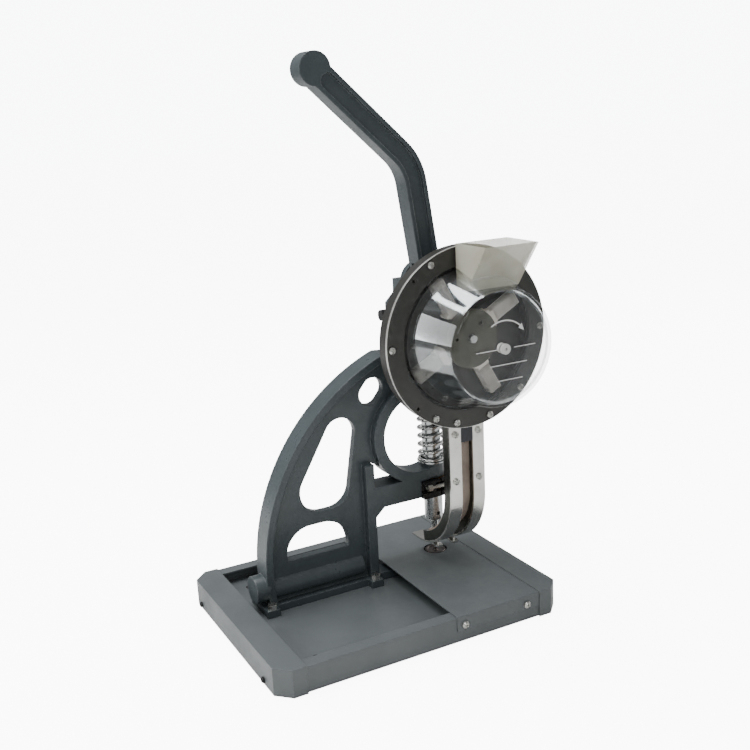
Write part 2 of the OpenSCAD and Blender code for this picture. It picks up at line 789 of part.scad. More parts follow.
module spring_seat() {
    color("#9a9c9b") difference() {
        bar_z(spring_d / 2 + 1, ram_x, mid_y, spring_boss_z, spring_z[0]);
        bar_z(ram_r + 0.5, ram_x, mid_y, spring_boss_z - 1, spring_z[0] + 1);
    }
}

// ---- Lever, cam and shaft ----

lever_route = route(
    [[-23.5, 625.5], [92.5, 517.9], [pivot_x - 0.3, pivot_z + 2]], [62]);

module lever() {
    y0 = mid_y - lever_t / 2;
    y1 = mid_y + lever_t / 2;
    n = len(lever_route);
    inner = [for (i = [0:n - 1]) i == 0 ? lever_route[0] + unit(lever_route[1] - lever_route[0]) * 20
        : i == n - 1 ? lever_route[n - 1] - unit(lever_route[n - 1] - lever_route[n - 2]) * 34
        : lever_route[i]];
    color("#4d5356") difference() {
        union() {
            xz(y0, y1) {
                polygon(band(lever_route, lever_w));
                translate(lever_route[0]) circle(r = bulb_r);
                translate([pivot_x, pivot_z]) circle(r = hub_r);
                translate([pivot_x - 41, heel_z]) square([36, 16]);
            }
        }
        for (f = [[y0 - 1, y0 + panel_depth], [y1 - panel_depth, y1 + 1]]) xz(f[0], f[1]) {
            polygon(band(inner, lever_w - 10));
            translate(inner[0]) circle(d = lever_w - 10);
            translate(inner[n - 1]) circle(d = lever_w - 10);
        }
        bar_y(hub_r + 9, pivot_x, pivot_z, mid_y - cam_t / 2 - 0.1, mid_y + cam_t / 2 + 0.1);
        bar_y(shaft_d / 2, pivot_x, pivot_z, y0 - 1, y1 + 1);
        for (p = cam_pin_at) bar_y(2.5, p[0], p[1], y0 - 1, y1 + 1);
    }
}
cam_pin_at = [for (a = [35, 145]) [pivot_x, pivot_z] + polar(14, a)];

// The cam's edge: the roller's path as the lever swings, set in by the roller's radius
function roller_path(t) = turn(
    [ram_x - pivot_x, -roller_drop - ram_travel * t / lever_swing], t);
function cam_edge(t) =
    let (p = roller_path(t), d = unit(roller_path(t + 0.5) - roller_path(t - 0.5)))
    p + [-d[1], d[0]] * (roller_r + cam_gap);

module cam() {
    edge = [for (t = [-6:3:lever_swing + 6]) cam_edge(t)];
    last = edge[len(edge) - 1];
    color("#a5a7a6") difference() {
        xz(mid_y - cam_t / 2, mid_y + cam_t / 2) translate([pivot_x, pivot_z]) union() {
            polygon(concat(edge, [last + [-6, 8], [0, hub_r - 2], [-hub_r * 0.6, 0]]));
            circle(r = roller_drop - roller_r - 0.6);
        }
        bar_y(shaft_d / 2, pivot_x, pivot_z, 0, 80);
        for (p = cam_pin_at) bar_y(2.5, p[0], p[1], 0, 80);
    }
}
module cam_pins() {
    color("#8d8f8e") for (p = cam_pin_at)
        bar_y(2.5, p[0], p[1], mid_y - lever_t / 2, mid_y + lever_t / 2);
}
module pivot_shaft() {
    color("#9a9c9b") {
        bar_y(shaft_d / 2, pivot_x, pivot_z, crank_y[0], cheek_out[1] + 2);
        bar_y(shaft_d / 2 - 2, pivot_x, pivot_z, cheek_out[1] + 1, cheek_out[1] + 12);
    }
}
module shaft_nut() {
    color("#8d8f8e") difference() {
        union() {
            bar_y(11, pivot_x, pivot_z, cheek_out[1] + 0.4, cheek_out[1] + 2);
            translate([pivot_x, cheek_out[1] + 2, pivot_z]) rotate([-90, 0, 0])
                cylinder(d = 19, h = 7, $fn = 6);
        }
        bar_y(shaft_d / 2 - 2, pivot_x, pivot_z, 0, 80);
        bar_y(shaft_d / 2, pivot_x, pivot_z, 0, cheek_out[1] + 2);
    }
}

// ---- Drive from the lever to the brushes: two equal cranks and a link ----

crank_y = [cheek_out[0] - 8, cheek_out[0] - 1];
link_y = [crank_y[0] - 6.3, crank_y[0] - side_play];
clutch_y = [link_y[0] - side_play - 8, link_y[0] - side_play];
crank_at = polar(crank_r, crank_a);

// A flat arm between two eyes, from a to b
module eye_arm(a, b, r, y0, y1) {
    xz(y0, y1) {
        translate(a) circle(r = r);
        translate(b) circle(r = r);
        polygon(band([a, b], r * 1.5));
    }
}
module crank() {
    p = [pivot_x, pivot_z];
    color("#8d8f8e") difference() {
        union() {
            eye_arm(p, p + crank_at, 7, crank_y[0], crank_y[1]);
            bar_y(11, p[0], p[1], crank_y[0], crank_y[1]);
        }
        bar_y(shaft_d / 2, p[0], p[1], -20, 80);
        bar_y(3, p[0] + crank_at[0], p[1] + crank_at[1], -20, 80);
    }
}
module feed_link() {
    a = [pivot_x, pivot_z] + crank_at;
    b = [drum_x, drum_z] + crank_at;
    color("#9a9c9b") difference() {
        eye_arm(a, b, 6.5, link_y[0], link_y[1]);
        for (p = [a, b]) bar_y(3 + run_fit, p[0], p[1], -30, 30);
    }
}
module feed_arm() {
    p = [drum_x, drum_z];
    b = p + crank_at;
    color("#c4c6c6") {
        bar_y(3, b[0], b[1], clutch_y[0], link_y[1] + 1);
        bar_y(5, b[0], b[1], link_y[1] + side_play, link_y[1] + 2);
    }
    color("#5d6062") difference() {
        union() {
            eye_arm(p, p + crank_at, 7, clutch_y[0], clutch_y[1]);
            bar_y(13, p[0], p[1], clutch_y[0], clutch_y[1]);
        }
        bar_y(brush_shaft_d / 2 + run_fit, p[0], p[1], -40, 20);
    }
}
module link_pins() {
    a = [pivot_x, pivot_z] + crank_at;
    color("#c4c6c6") {
        bar_y(3, a[0], a[1], link_y[0] - 1, crank_y[1]);
        bar_y(5, a[0], a[1], link_y[0] - 2.5, link_y[0] - side_play);
    }
}

// ---- Drum ----

module drum_bracket() {
    x = bracket_x;
    z = bracket_z;
    color("#4d5356") difference() {
        union() {
            block([x, back_y, z[0]], [drum_x + 24, back_y + plate_t, z[1] + 4]);
            block([x, cheek_out[0] - plate_t, z[0]], [x + bracket_w, cheek_out[0], z[1]]);
            for (z0 = [z[0], z[1] - plate_t])
                block([x, back_y, z0], [x + bracket_w, cheek_out[0], z0 + plate_t]);
            bar_y(brush_shaft_d / 2 + 9, drum_x, drum_z, back_y, back_y + 14);
        }
        bar_y(brush_shaft_d / 2 + 3, drum_x, drum_z, back_y - 1, 0);
        bracket_bolt_places() translate([0, 0, -1]) cylinder(d = bolt_d, h = 20);
        drum_bolt_places() translate([0, 0, -20]) cylinder(d = bolt_d, h = 21);
    }
}
// Where the bracket is bolted to the head's cheek, pointing toward the drum
module bracket_bolt_places() {
    for (x = bracket_bolt_x, z = bracket_bolt_z)
        translate([x, cheek_out[0], z]) rotate([90, 0, 0]) children();
}
// Where the bracket is bolted to the drum's back, pointing toward the head
module drum_bolt_places() {
    for (p = drum_bolt_at)
        translate([p[0], back_y + plate_t, p[1]]) rotate([-90, 0, 0]) children();
}
module bracket_bolts() {
    color("#2a2c2d") {
        bracket_bolt_places() translate([0, 0, plate_t]) socket_bolt(bolt_head_d, bolt_d, plate_t + 10);
        drum_bolt_places() socket_bolt(bolt_head_d, bolt_d, plate_t + 2);
    }
}

module drum_body() {
    color("#33332f") difference() {
        bar_y(ring_r - 1, drum_x, drum_z, body_y, back_y);
        bar_y(dome_r, drum_x, drum_z, body_y - 1, floor_y);
        bar_y(dome_r + 7, drum_x, drum_z, body_y - 1, body_y + 2.2);
        bar_y(brush_shaft_d / 2 + 3, drum_x, drum_z, floor_y - 1, back_y + 1);
        drum_bolt_places() translate([0, 0, -plate_t - 2]) cylinder(d = bolt_d, h = 5);
        // pocket for the chute's top, and the way that the eyelets fall into it
        block([ram_x - strip_x - strip_w - 0.3, body_y - 1, drum_z - ring_r - 1],
              [ram_x + strip_x + strip_w + 0.3, bar_y[1] + 0.3, chute_top + 0.3]);
        block([ram_x - strip_x, body_y - 1, chute_top - 1],
              [ram_x + strip_x, floor_y - 3, drum_z - dome_r + 6]);
        ring_screw_places() translate([0, 0, -12]) cylinder(d = screw_d, h = 14);
    }
}
module front_ring() {
    color("#33332f") difference() {
        bar_y(ring_r, drum_x, drum_z, ring_y, body_y);
        bar_y(dome_r + 0.3, drum_x, drum_z, ring_y - 1, body_y + 1);
        ring_screw_places() translate([0, 0, -6]) cylinder(d = screw_d, h = 8);
        for (a = ring_hole_a) let (p = [drum_x, drum_z] + polar(ring_r - 6, a))
            bar_y(2, p[0], p[1], ring_y - 1, body_y + 1);
    }
}
module ring_screw_places() {
    for (a = ring_screw_a) let (p = [drum_x, drum_z] + polar(ring_screw_r, a))
        facing_front([p[0], ring_y, p[1]]) children();
}
module ring_screws() {
    color("#c9c9c4") ring_screw_places() pan_screw(8, screw_d, 9);
}
module shaft_bush() {
    color("#a9834a") difference() {
        bar_y(brush_shaft_d / 2 + 3, drum_x, drum_z, floor_y, back_y + 14);
        bar_y(brush_shaft_d / 2 + run_fit, drum_x, drum_z, floor_y - 1, 0);
    }
}

// The clear dome: a flange behind the ring, a tapered wall and a rounded flat front
module dome_shape(inset) {
    front = dome_depth - inset;
    round_r = 7;
    r0 = dome_r - inset;
    r1 = dome_front_r - inset;
    translate([drum_x, ring_y, drum_z]) rotate([90, 0, 0]) rotate_extrude($fn = 96) polygon([
        [0, -5], [r0, -5], [r0, 2],
        each [for (a = [12:13:90]) [r1 - round_r, front - round_r] + polar(round_r, a)],
        [0, front],
    ]);
}
module dome_cover() {
    color([0.85, 0.88, 0.88, 0.35]) difference() {
        union() {
            dome_shape(0);
            bar_y(dome_r + 6.5, drum_x, drum_z, body_y, body_y + 2);
        }
        dome_shape(dome_t);
        bar_y(dome_r - dome_t, drum_x, drum_z, body_y - 1, body_y + 6);
        block([0, body_y + 2, 0], [300, body_y + 12, 500]);
        hopper_shape();
        bar_y(3, drum_x, drum_z, ring_y - dome_depth - 1, ring_y - dome_depth + dome_t + 1);
    }
}
module dome_knob() {
    face = ring_y - dome_depth;
    color("#d9dad6") difference() {
        union() {
            bar_y(knob_r, drum_x, drum_z, face - knob_l, face);
            bar_y(3, drum_x, drum_z, face - 1, face + dome_t + 3);
            bar_y(5.5, drum_x, drum_z, face + dome_t, face + dome_t + 4);
        }
        bar_y(1.6, drum_x, drum_z, face - knob_l - 1, face - 1);
    }
}

// The hopper's outer shape: upright back and sides, and a front that slopes in
module hopper_shape() {
    translate([hopper_x + hopper_w, 0, 0]) rotate([90, 0, -90]) linear_extrude(hopper_w) polygon([
        [-hopper_back, hopper_low], [-hopper_back, hopper_top],
        [-hopper_front[0], hopper_top], [-hopper_front[1], hopper_low],
    ]);
}
module hopper_hollow() {
    translate([hopper_x + hopper_w - hopper_t, 0, 0]) rotate([90, 0, -90])
        linear_extrude(hopper_w - 2 * hopper_t) polygon([
            [-hopper_back + hopper_t, hopper_low - 1], [-hopper_back + hopper_t, hopper_top + 1],
            [-hopper_front[0] - hopper_t + 1, hopper_top + 1],
            [-hopper_front[1] - hopper_t - 1, hopper_low - 1],
        ]);
}
module hopper() {
    color([0.8, 0.8, 0.74, 0.5]) difference() {
        hopper_shape();
        hopper_hollow();
    }
}

// ---- Brushes ----

module around_hub() {
    for (i = [0:brush_n - 1]) translate([drum_x, 0, drum_z]) rotate([0, -29 - i * 360 / brush_n, 0]) children();
}
module brush_shaft() {
    color("#9a9c9b") {
        bar_y(brush_shaft_d / 2, drum_x, drum_z, brush_y[0] - 6, clutch_y[1] + 2);
        bar_y(4.5, drum_x, drum_z, brush_y[0] - 11, brush_y[0] - 5);
    }
}
module brush_hub() {
    color("#4d4d46") difference() {
        bar_y(brush_hub_r, drum_x, drum_z, brush_y[0] - 3.6, brush_y[1]);
        bar_y(brush_shaft_d / 2, drum_x, drum_z, -80, 0);
        around_hub() block([brush_hub_r - 5, brush_y[0], -brush_w / 2],
                           [brush_hub_r + 5, brush_y[1] + 1, brush_w / 2]);
    }
}
module hub_plate() {
    color("#4d4d46") difference() {
        bar_y(brush_hub_r + 1, drum_x, drum_z, brush_y[0] - 7, brush_y[0] - 3.6);
        bar_y(brush_shaft_d / 2, drum_x, drum_z, -80, 0);
        for (a = [55, 175, 295]) let (p = [drum_x, drum_z] + polar(20, a)) bar_y(2, p[0], p[1], -80, 0);
    }
}
module brush_holders() {
    color("#dcd9d2") around_hub() {
        block([brush_hub_r - 5, brush_y[0] + 0.2, -brush_w / 2],
              [brush_hub_r + 9, brush_y[1] - 0.2, brush_w / 2]);
        block([brush_hub_r + 1, brush_y[0] + 0.2, -brush_w * 0.7],
              [brush_hub_r + 5, brush_y[1] - 0.2, brush_w * 0.7]);
    }
}
module bristles() {
    color("#c9c6c0") around_hub() block([brush_hub_r + 9, brush_y[0] + 0.4, -brush_w / 2 + 0.5],
                                        [brush_r, brush_y[1] + 0.4, brush_w / 2 - 0.5]);
}

// ---- Chute ----

// A plate that runs down, round the curve and along to the tip, between two radii
module chute_run(x0, x1, r0, r1, top, a1, tip) {
    translate([x0, 0, 0]) rotate([90, 0, 90]) linear_extrude(x1 - x0) {
        translate([chute_y - r1, chute_z]) square([r1 - r0, top - chute_z]);
        sector([chute_y, chute_z], r0, r1, 180, 180 + a1);
        if (tip > 0) translate([chute_y - eps, chute_z - r1]) square([tip, r1 - r0]);
    }
}
module chute_screw_places() {
    for (s = [-1, 1], z = chute_screw_z)
        facing_front([ram_x + s * (strip_x + strip_w / 2), chute_face, z]) children();
}
module strip(s) {
    x0 = ram_x + (s > 0 ? strip_x : -strip_x - strip_w);
    difference() {
        chute_run(x0, x0 + strip_w, chute_r - strip_t, chute_r, chute_top, 90, tip_y - chute_y);
        bar_z(ram_r + 0.8, ram_x, mid_y, 40, 70);
        bar_z(jaw_pin_r + run_fit, ram_x + s * jaw_pin[0], jaw_pin[1], 40, 70);
        chute_screw_places() translate([0, 0, -8]) cylinder(d = screw_d, h = 9);
        ring_screw_places() translate([0, 0, -12]) cylinder(d = screw_d, h = 14);
    }
}
module left_strip() { color("#c9c9c4") strip(-1); }
module right_strip() { color("#c9c9c4") strip(1); }
module chute_bars() {
    outer = strip_x + strip_w;
    color("#6f7274") for (s = [-1, 1]) difference() {
        chute_run(ram_x + (s > 0 ? outer - bar_w : -outer), ram_x + (s > 0 ? outer : -outer + bar_w),
                  chute_r - strip_t - bar_depth, chute_r - strip_t, chute_top, bar_turn, 0);
        bar_z(jaw_pin_r + run_fit, ram_x + s * jaw_pin[0], jaw_pin[1], 40, 80);
        chute_screw_places() translate([0, 0, -8]) cylinder(d = screw_d, h = 9);
        ring_screw_places() translate([0, 0, -12]) cylinder(d = screw_d, h = 14);
    }
}
module chute_back() {
    outer = strip_x + strip_w - 2;
    r1 = chute_r - strip_t - bar_depth;
    color("#b08f72") chute_run(ram_x - outer, ram_x + outer, r1 - chute_back_t, r1, back_top, back_turn, 0);
}
module chute_gate() {
    color("#23252b") block([ram_x - strip_x + 0.2, chute_face - 0.5, gate_low],
                           [ram_x + strip_x - 0.2, chute_face + 6, chute_top - 1]);
}
module chute_screws() {
    color("#c9c9c4") chute_screw_places() pan_screw(8, screw_d, 7);
}

// A spring jaw under the strips: a finger with a hook that stops each eyelet under the punch
module jaw(s) {
    translate([ram_x, 0, jaw_top - jaw_t]) mirror([s < 0 ? 1 : 0, 0, 0]) linear_extrude(jaw_t) {
        translate([strip_x, 0]) square([7, mid_y]);
        translate(jaw_pin) circle(r = 5);
        sector([0, mid_y], jaw_hook, jaw_hook + 8.5, 0, 80);
    }
    bar_z(jaw_pin_r, ram_x + s * jaw_pin[0], jaw_pin[1], jaw_top - jaw_t, jaw_top + 9);
}
module left_jaw() { color("#b5b7b6") jaw(-1); }
module right_jaw() { color("#b5b7b6") jaw(1); }

floor_pan();
left_rail();
right_rail();
rear_cap();
front_cap();
cover_plate();
cover_screws();
cap_screws();
rubber_feet();
frame_casting();
foot_bolts();
lower_guide();
guide_bolts();
clamp_bolt();
lower_bush();
upper_bush();
pivot_bushes();
stop_screw();
lock_bolt();
lower_die();
die_screw();
ram();
spring_collar();
punch();
punch_screw();
roller_pin();
cam_roller();
return_spring();
spring_seat();
lever();
cam();
cam_pins();
pivot_shaft();
shaft_nut();
crank();
feed_link();
feed_arm();
link_pins();
drum_bracket();
bracket_bolts();
drum_body();
front_ring();
ring_screws();
shaft_bush();
dome_cover();
dome_knob();
hopper();
brush_shaft();
brush_hub();
hub_plate();
brush_holders();
bristles();
left_strip();
right_strip();
chute_bars();
chute_back();
chute_gate();
chute_screws();
left_jaw();
right_jaw();
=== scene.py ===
# %% [markdown]
# # A hand-lever eyelet press
# The press is a painted steel tray, a ribbed iron frame, a long bent lever and a
# round feeder drum with a clear dome. The solids come ready made and measured, so
# this lesson adds what the eye reads on them: finishes, springs, bristles and print.

# %% Load the measured press
import bpy, json, math
import numpy as np
from mathutils import Matrix, Vector


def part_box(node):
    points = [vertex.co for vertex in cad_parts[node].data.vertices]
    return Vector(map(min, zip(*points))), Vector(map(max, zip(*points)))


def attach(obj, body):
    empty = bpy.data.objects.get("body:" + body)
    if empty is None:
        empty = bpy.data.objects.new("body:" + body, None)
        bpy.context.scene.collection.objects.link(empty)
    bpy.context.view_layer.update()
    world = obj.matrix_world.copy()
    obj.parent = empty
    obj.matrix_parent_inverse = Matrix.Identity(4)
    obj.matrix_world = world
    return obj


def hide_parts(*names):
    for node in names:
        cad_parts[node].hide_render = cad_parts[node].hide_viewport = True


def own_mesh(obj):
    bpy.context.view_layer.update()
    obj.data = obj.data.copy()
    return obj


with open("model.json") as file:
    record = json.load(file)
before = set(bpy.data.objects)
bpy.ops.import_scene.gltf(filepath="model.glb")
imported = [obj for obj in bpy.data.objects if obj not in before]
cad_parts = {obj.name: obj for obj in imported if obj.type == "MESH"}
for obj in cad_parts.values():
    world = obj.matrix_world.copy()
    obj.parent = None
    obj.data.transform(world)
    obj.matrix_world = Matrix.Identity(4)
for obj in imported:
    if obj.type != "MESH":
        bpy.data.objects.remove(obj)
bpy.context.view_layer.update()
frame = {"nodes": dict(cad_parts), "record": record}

# %% [markdown]
# ## Helpers
# Blender's shaders work in linear light, and a paint chip is read in sRGB, so one
# function turns a hex colour into linear. One more adds a shader node with its
# settings and links, which keeps each recipe short enough to read.

# %% Colour and node helpers
def paint_chip(hex_colour, alpha=1.0):
    """sRGB hex to linear: c/12.92 below 0.04045, else ((c + 0.055) / 1.055) ** 2.4."""
    c = np.array([int(hex_colour[i:i + 2], 16) for i in (1, 3, 5)]) / 255
    linear = np.where(c <= 0.04045, c / 12.92, ((c + 0.055) / 1.055) ** 2.4)
    return (*map(float, linear), alpha)


def add(tree, kind, feeds=None, **settings):
    """Adds one shader node: settings are its properties, feeds its sockets' values or links."""
    made = tree.nodes.new("ShaderNode" + kind)
    for key, value in settings.items():
        setattr(made, key, value)
    for key, value in (feeds or {}).items():
        if isinstance(value, bpy.types.NodeSocket):
            tree.links.new(value, made.inputs[key])
        else:
            made.inputs[key].default_value = value
    return made


def new_finish(name):
    """An empty material with its Principled shader, its tree and its Object coordinates."""
    material = bpy.data.materials.new(name)
    material.use_nodes = True
    tree = material.node_tree
    shader = tree.nodes["Principled BSDF"]
    place = add(tree, "TexCoord").outputs["Object"]
    return material, tree, shader, place


def ramp(tree, value, low, high, to_low=0.0, to_high=1.0):
    """Stretches value from low..high to to_low..to_high, and holds it there."""
    return add(tree, "MapRange", {0: value, 1: low, 2: high, 3: to_low, 4: to_high}).outputs[0]


def blend_colour(tree, share, a, b):
    """Colour a where share is 0, colour b where it is 1."""
    return add(tree, "Mix", {0: share, 6: a, 7: b}, data_type="RGBA").outputs[2]

# %% [markdown]
# ## Rounded edges
# A casting or a folded sheet never has a knife edge. The Bevel node bends the shading
# normal over a set radius, so edges catch a line of light, and the difference between
# that normal and the true one finds the edges, which is where paint wears thin.

# %% Edge rounding and an edge finder
def round_edges(tree, radius):
    """The normal with every edge rounded over radius metres."""
    return add(tree, "Bevel", {"Radius": radius}, samples=6).outputs[0]


def find_edges(tree, radius):
    """1 on the line of an edge, 0 on a flat: one less the dot of the two normals."""
    true_normal = add(tree, "NewGeometry").outputs["Normal"]
    dot = add(tree, "VectorMath", {0: round_edges(tree, radius), 1: true_normal},
              operation="DOT_PRODUCT").outputs["Value"]
    return ramp(tree, dot, 0.995, 0.86)

# %% [markdown]
# ## Paint on steel and on iron
# The base is folded sheet with a satin powder coat: sprayed as dry powder and baked,
# it flows into a faint orange peel of about 2 mm. The frame, lever and bracket are sand-cast
# iron under a brushed enamel, so the sand's 3 mm grain shows through as a soft dimple.
# Both are dielectric, with the usual IOR of 1.5, and both rub thin along the edges.

# %% The paint recipe
def paint_coat(name, body, shade, worn, rough, grain, depth, patch=0.06, edge=0.0009, wear=0.5):
    """Paint: two tones over patches, grain metres of texture, thin paint along edges."""
    material, tree, shader, place = new_finish(name)
    patches = add(tree, "TexNoise", {"Vector": place, "Scale": 1 / patch, "Detail": 4.0}).outputs[0]
    grains = add(tree, "TexNoise", {"Vector": place, "Scale": 1 / grain, "Detail": 3.0,
                                    "Roughness": 0.6}).outputs[0]
    scuffs = add(tree, "TexNoise", {"Vector": place, "Scale": 1 / 0.007, "Detail": 6.0,
                                    "Roughness": 0.75}).outputs[0]
    tone = blend_colour(tree, ramp(tree, patches, 0.35, 0.65), paint_chip(body), paint_chip(shade))
    rubbed = add(tree, "Math", {0: find_edges(tree, edge), 1: ramp(tree, scuffs, 0.45, 0.62, 0.0, wear)},
                 operation="MULTIPLY").outputs[0]
    colour = blend_colour(tree, rubbed, tone, paint_chip(worn))
    tree.links.new(colour, shader.inputs["Base Color"])
    gloss = add(tree, "Math", {0: ramp(tree, patches, 0.3, 0.7, rough - 0.05, rough + 0.06),
                               1: ramp(tree, scuffs, 0.35, 0.7, -0.04, 0.05)}, operation="ADD").outputs[0]
    tree.links.new(gloss, shader.inputs["Roughness"])
    shader.inputs["IOR"].default_value = 1.5
    bump = add(tree, "Bump", {"Height": grains, "Distance": depth, "Strength": 0.6,
                              "Normal": round_edges(tree, edge)}).outputs[0]
    tree.links.new(bump, shader.inputs["Normal"])
    return material


powder_coat = paint_coat("satin_powder_coat", "#5a5f61", "#525759", "#868a8b", 0.38, 0.0022, 0.00010)
cast_enamel = paint_coat("enamel_on_cast_iron", "#424a4d", "#394144", "#7b8183", 0.34, 0.0032, 0.00032,
                         patch=0.045, edge=0.0022, wear=0.4)
drum_enamel = paint_coat("black_drum_enamel", "#2b2b28", "#242422", "#66655f", 0.42, 0.0016, 0.00006,
                         edge=0.0007)
ring_enamel = paint_coat("black_ring_with_bare_edge", "#2f2f2b", "#282825", "#66655f", 0.40,
                         0.0016, 0.00006, edge=0.0007)
print("four paints made")

# %% [markdown]
# The front ring was painted and then turned, so its 3 mm rim is bare metal. Its distance from
# the drum's axis tells the rim from the faces: within 0.4 mm of the radius, it is metal.

# %% The ring's bare rim
def bare_rim(material, centre, radius):
    """Metal where the distance from the centre, across Y, comes within 0.4 mm of radius."""
    tree = material.node_tree
    shader = tree.nodes["Principled BSDF"]
    place = add(tree, "TexCoord").outputs["Object"]
    across = add(tree, "VectorMath", {0: place, 1: (1, 0, 1)}, operation="MULTIPLY").outputs[0]
    distance = add(tree, "VectorMath", {0: across, 1: (centre[0], 0, centre[2])},
                   operation="DISTANCE").outputs["Value"]
    bare = ramp(tree, distance, radius - 0.0005, radius - 0.0003)
    tree.links.new(bare, shader.inputs["Metallic"])
    painted = shader.inputs["Base Color"].links[0].from_socket
    tree.links.new(blend_colour(tree, bare, painted, paint_chip("#dcdcd8")), shader.inputs["Base Color"])


ring_low, ring_high = np.array(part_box("front_ring"))
bare_rim(ring_enamel, (ring_low + ring_high) / 2, (ring_high[0] - ring_low[0]) / 2)

# %% [markdown]
# ## Bare metals
# The ram and the shafts are ground round, so their marks run round the axis or along it.
# The chute strips are cold-rolled steel, brushed lengthways. A stretched noise draws those
# lines: it is fine across the lines and long along them. Real grinding marks are
# about 0.05 mm apart, too fine to show here, so they are drawn 0.5 mm apart.

# %% The bare metal recipe
def bare_metal(name, body, dull, rough, lines, line_gap=0.0005, marks=0.06, metallic=1.0, edge=0.0004):
    """Metal: lines is the stretch along X, Y, Z, where a small number makes long lines."""
    material, tree, shader, place = new_finish(name)
    stretch = tuple(v / line_gap for v in lines)
    stretched = add(tree, "Mapping", {"Vector": place, "Scale": stretch}).outputs[0]
    brushing = add(tree, "TexNoise", {"Vector": stretched, "Scale": 1.0, "Detail": 2.0}).outputs[0]
    handling = add(tree, "TexNoise", {"Vector": place, "Scale": 1 / 0.018, "Detail": 5.0,
                                      "Roughness": 0.65}).outputs[0]
    colour = blend_colour(tree, ramp(tree, handling, 0.38, 0.68), paint_chip(body), paint_chip(dull))
    tree.links.new(colour, shader.inputs["Base Color"])
    gloss = add(tree, "Math", {0: ramp(tree, brushing, 0.3, 0.7, rough - marks, rough + marks),
                               1: ramp(tree, handling, 0.4, 0.7, 0.0, 0.08)}, operation="ADD").outputs[0]
    tree.links.new(gloss, shader.inputs["Roughness"])
    shader.inputs["Metallic"].default_value = metallic
    bump = add(tree, "Bump", {"Height": brushing, "Distance": 0.00002, "Strength": 0.35,
                              "Normal": round_edges(tree, edge)}).outputs[0]
    tree.links.new(bump, shader.inputs["Normal"])
    return material


ground_steel = bare_metal("ground_steel", "#c9cbcb", "#a9acad", 0.22, (0.06, 0.06, 1))
strip_steel = bare_metal("brushed_strip_steel", "#dcdbd6", "#cfcec9", 0.18, (1, 1, 0.03), marks=0.02)
# The chute bars are the same steel as the strips, darkened as painted shade: their side faces get little
# light.
shaded_bar_steel = bare_metal("bar_steel_painted_shade", "#5c5e58", "#4c4e49", 0.34, (1, 1, 0.03), marks=0.03)
tool_steel = bare_metal("hardened_tool_steel", "#6a6360", "#575150", 0.30, (0.1, 0.1, 1), marks=0.03)
zinc_plate = bare_metal("bright_zinc_plate", "#cfcfca", "#a8a8a2", 0.28, (1, 1, 1), 0.002, edge=0.0002)
spring_wire = bare_metal("nickel_plated_spring_wire", "#d6d6d4", "#b4b5b5", 0.16, (1, 1, 1), 0.003)
bush_bronze = bare_metal("oiled_bronze", "#b08d57", "#84673c", 0.34, (0.1, 0.1, 1))
hub_anodised = bare_metal("olive_anodised_aluminium", "#55554d", "#45453e", 0.42, (1, 1, 1), 0.0012,
                          metallic=0.55)
black_oxide = bare_metal("oil_blackened_steel", "#262728", "#1b1c1d", 0.38, (1, 1, 1), 0.0015, metallic=0.6)
print("nine metals made")

# %% [markdown]
# ## Plastics and rubber
# The dome is a vacuum-formed clear sheet, the hopper a folded and glued milky one that has
# yellowed a little, and the brush holders, gate and knob are moulded. Clear plastic has an
# IOR of 1.49 and almost no colour, so what shows of it is its gloss and its rim.

# %% The plastic recipe
PLASTIC_IOR = 1.49


def moulded(name, body, shade, rough, grain=0.004, depth=0.00004, haze=0.1, thin=0.0):
    """Plastic: haze is the spread of its roughness, thin how much of the piece is not there at all."""
    material, tree, shader, place = new_finish(name)
    cloud = add(tree, "TexNoise", {"Vector": place, "Scale": 1 / 0.03, "Detail": 4.0}).outputs[0]
    fine = add(tree, "TexNoise", {"Vector": place, "Scale": 1 / grain, "Detail": 3.0}).outputs[0]
    colour = blend_colour(tree, ramp(tree, cloud, 0.35, 0.65), paint_chip(body), paint_chip(shade))
    tree.links.new(colour, shader.inputs["Base Color"])
    tree.links.new(ramp(tree, fine, 0.35, 0.7, rough, rough + haze), shader.inputs["Roughness"])
    shader.inputs["IOR"].default_value = PLASTIC_IOR
    shader.inputs["Alpha"].default_value = 1 - thin
    bump = add(tree, "Bump", {"Height": fine, "Distance": depth, "Strength": 0.4,
                              "Normal": round_edges(tree, 0.0006)}).outputs[0]
    tree.links.new(bump, shader.inputs["Normal"])
    return material


hopper_sheet = moulded("milky_folded_sheet", "#c4c2b4", "#b9b6a5", 0.16, haze=0.1, thin=0.35)
knob_plastic = moulded("ivory_knob_plastic", "#d5d6d2", "#c6c7c2", 0.28)
holder_plastic = moulded("cream_holder_plastic", "#d9d5cc", "#cbc6bb", 0.35)
gate_plastic = moulded("navy_gate_plastic", "#23262e", "#1b1d24", 0.33)
bristle_nylon = moulded("cream_nylon_bristle", "#efece6", "#dedad2", 0.45)
foot_rubber = moulded("black_foot_rubber", "#1d1d1d", "#262626", 0.75)
chute_board = moulded("tan_fibre_board", "#b8a99c", "#a4968a", 0.62, grain=0.0012, depth=0.00012)
print("seven plastics made")

# %% [markdown]
# A thin clear sheet hardly bends the view, so the dome is made as what shows of it: a
# mirror that is mostly not there. Fresnel's law sets how much: a real face gives back 4% of
# the light square on and nearly all of it at the rim. Here that is held down to 1.2% and
# 50%, so that it hides less of the drum. The lamps still show in it as bright patches.

